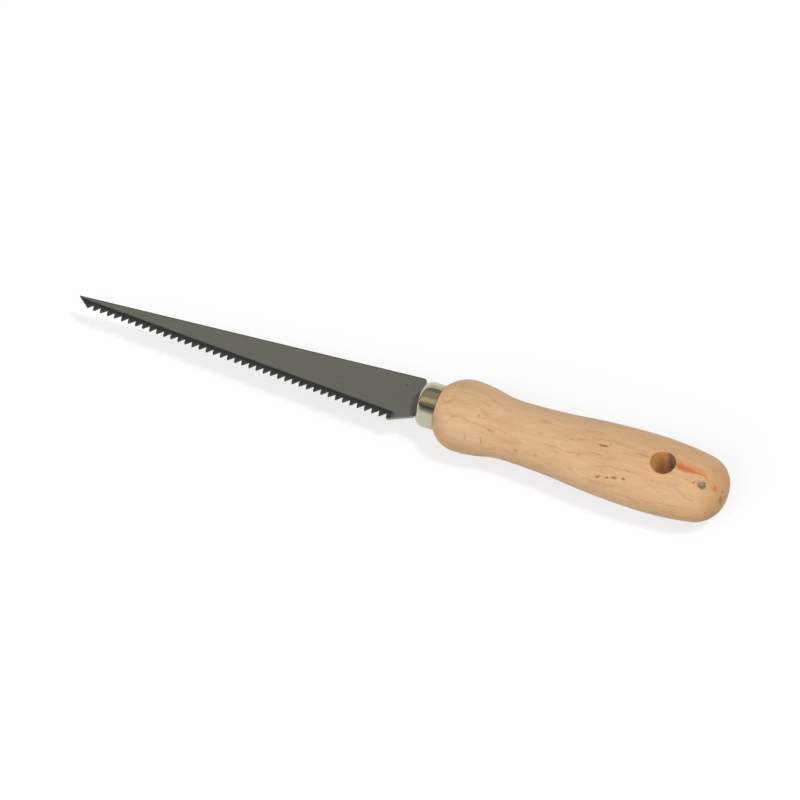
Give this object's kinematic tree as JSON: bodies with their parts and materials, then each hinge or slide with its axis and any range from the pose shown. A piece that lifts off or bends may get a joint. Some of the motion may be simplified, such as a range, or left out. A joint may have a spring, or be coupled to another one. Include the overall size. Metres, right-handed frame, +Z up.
{
  "type": "keyhole saw",
  "caption": "Fixed-blade keyhole saw: narrow tapered blade with set teeth, drawn metal ferrule and an oval turned wooden handle with a hanging hole.",
  "frame": {"origin": "on the table, under the middle of the saw's bounding box, with the saw lying on its side", "axes": "+X along the saw from the blade's point to the handle's butt, +Z up out of the blade's flat face, teeth towards -Y"},
  "size_m": [0.2766, 0.032, 0.024],
  "materials": {
    "blade_steel": "matt dark grey rolled steel, blackened along the hardened teeth",
    "ferrule_plate": "bright warm plating",
    "beech": "smooth, thin clear lacquer"
  },
  "bodies": {
    "root": {"blade": "blade_steel", "ferrule": "ferrule_plate", "handle": "beech"}
  },
  "joints": []
}
